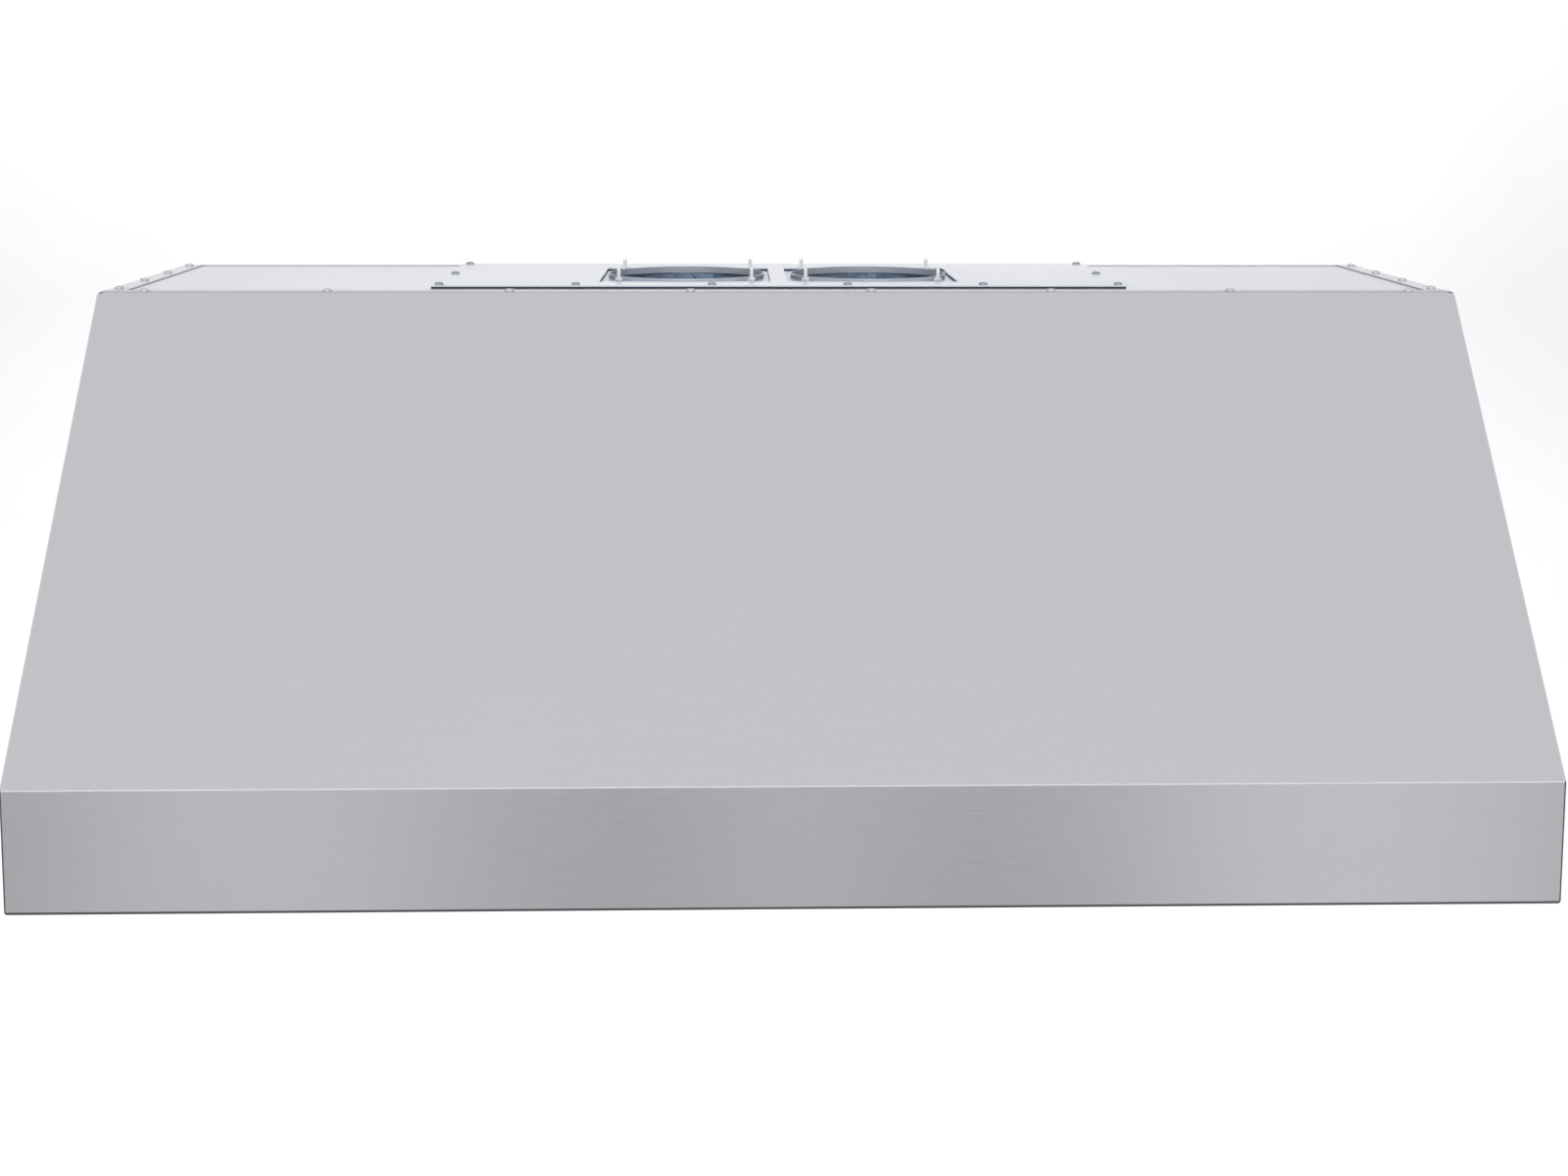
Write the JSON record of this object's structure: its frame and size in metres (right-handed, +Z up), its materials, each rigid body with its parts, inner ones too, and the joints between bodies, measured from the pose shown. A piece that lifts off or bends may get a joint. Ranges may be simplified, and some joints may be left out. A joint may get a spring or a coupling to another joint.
{
  "type": "under cabinet range hood",
  "caption": "Wide stainless under-cabinet range hood with an upright front band, sloped face, flat top with round duct outlets, swing-down baffle filters, lamps and push buttons.",
  "frame": {"origin": "centre of the bottom rim", "axes": "+X along the width, -Y towards the cook, +Y to the wall, +Z up"},
  "size_m": [1.216, 0.61, 0.4698],
  "materials": {
    "stainless": "brushed, grain along the width",
    "galvanised": "bright zinc coated sheet, faint spangle",
    "plated_fasteners": "zinc plated",
    "gasket_foam": "matt closed-cell foam",
    "filter_steel": "brushed, along the baffles",
    "bar_steel": "polished wire",
    "spring_steel": "plain rolled",
    "button_metal": "turned and polished",
    "switch_plastic": "moulded",
    "lamp_trim": "turned",
    "lamp_glass": "frosted",
    "wheel_steel": "black zinc",
    "motor_black": "satin black enamel",
    "capacitor_can": "drawn can",
    "driver_shell": "white moulded shell",
    "cable_jacket": "satin jacket",
    "bushing_plastic": "nylon"
  },
  "bodies": {
    "canopy": {"front_panel": "stainless", "left_side_panel": "stainless", "right_side_panel": "stainless", "top_panel": "stainless", "back_panel": "stainless", "blower_plate": "stainless", "plate_gasket": "gasket_foam", "casing_screws": "plated_fasteners", "plate_screws": "plated_fasteners", "front_rail": "stainless", "rear_trough": "stainless", "left_side_rail": "stainless", "right_side_rail": "stainless", "filter_clips": "spring_steel", "switch_plate": "stainless", "switch_body": "switch_plastic", "lamp_1_housing": "lamp_trim", "lamp_2_housing": "lamp_trim", "lamp_3_housing": "lamp_trim", "lamp_4_housing": "lamp_trim", "lamp_1_lens": "lamp_glass", "lamp_2_lens": "lamp_glass", "lamp_3_lens": "lamp_glass", "lamp_4_lens": "lamp_glass", "left_scroll_case": "galvanised", "right_scroll_case": "galvanised", "left_inlet_cover": "galvanised", "right_inlet_cover": "galvanised", "left_outlet_ring": "stainless", "right_outlet_ring": "stainless", "left_motor": "motor_black", "right_motor": "motor_black", "duct_studs": "plated_fasteners", "run_capacitors": "capacitor_can", "junction_box": "galvanised", "junction_box_cover": "galvanised", "led_driver": "driver_shell", "wiring_harness": "cable_jacket", "cable_bushing": "bushing_plastic"},
    "filter_1": {"filter_1_frame": "filter_steel", "filter_1_baffles": "filter_steel", "filter_1_handle": "bar_steel"},
    "filter_2": {"filter_2_frame": "filter_steel", "filter_2_baffles": "filter_steel", "filter_2_handle": "bar_steel"},
    "filter_3": {"filter_3_frame": "filter_steel", "filter_3_baffles": "filter_steel", "filter_3_handle": "bar_steel"},
    "filter_4": {"filter_4_frame": "filter_steel", "filter_4_baffles": "filter_steel", "filter_4_handle": "bar_steel"},
    "left_wheel": {"left_impeller": "wheel_steel"},
    "left_cup": {"left_grease_cup": "stainless"},
    "right_wheel": {"right_impeller": "wheel_steel"},
    "right_cup": {"right_grease_cup": "stainless"},
    "light_key": {"light_button": "button_metal"},
    "off_key": {"off_button": "button_metal"},
    "low_key": {"low_button": "button_metal"},
    "medium_key": {"medium_button": "button_metal"},
    "high_key": {"high_button": "button_metal"}
  },
  "joints": [
    {"name": "filter_1_swing", "type": "hinge", "parent": "canopy", "child": "filter_1", "pos_m": [0, 0.222, 0.044], "axis": [1, 0, 0], "range_deg": [0, 75]},
    {"name": "filter_2_swing", "type": "hinge", "parent": "canopy", "child": "filter_2", "pos_m": [0, 0.222, 0.044], "axis": [1, 0, 0], "range_deg": [0, 75]},
    {"name": "filter_3_swing", "type": "hinge", "parent": "canopy", "child": "filter_3", "pos_m": [0, 0.222, 0.044], "axis": [1, 0, 0], "range_deg": [0, 75]},
    {"name": "filter_4_swing", "type": "hinge", "parent": "canopy", "child": "filter_4", "pos_m": [0, 0.222, 0.044], "axis": [1, 0, 0], "range_deg": [0, 75]},
    {"name": "left_wheel_spin", "type": "hinge", "parent": "canopy", "child": "left_wheel", "pos_m": [-0.088, 0.105, 0.29], "axis": [1, 0, 0], "continuous": true},
    {"name": "left_cup_slide", "type": "slide", "parent": "canopy", "child": "left_cup", "axis": [-1, 0, 0], "range_m": [0, 0.1]},
    {"name": "right_wheel_spin", "type": "hinge", "parent": "canopy", "child": "right_wheel", "pos_m": [0.088, 0.105, 0.29], "axis": [1, 0, 0], "continuous": true},
    {"name": "right_cup_slide", "type": "slide", "parent": "canopy", "child": "right_cup", "axis": [1, 0, 0], "range_m": [0, 0.1]},
    {"name": "light_press", "type": "slide", "parent": "canopy", "child": "light_key", "axis": [0, 0, 1], "range_m": [0, 0.003], "stiffness_N_per_m": 300, "springref_m": -0.001},
    {"name": "off_press", "type": "slide", "parent": "canopy", "child": "off_key", "axis": [0, 0, 1], "range_m": [0, 0.003], "stiffness_N_per_m": 300, "springref_m": -0.001},
    {"name": "low_press", "type": "slide", "parent": "canopy", "child": "low_key", "axis": [0, 0, 1], "range_m": [0, 0.003], "stiffness_N_per_m": 300, "springref_m": -0.001},
    {"name": "medium_press", "type": "slide", "parent": "canopy", "child": "medium_key", "axis": [0, 0, 1], "range_m": [0, 0.003], "stiffness_N_per_m": 300, "springref_m": -0.001},
    {"name": "high_press", "type": "slide", "parent": "canopy", "child": "high_key", "axis": [0, 0, 1], "range_m": [0, 0.003], "stiffness_N_per_m": 300, "springref_m": -0.001}
  ]
}
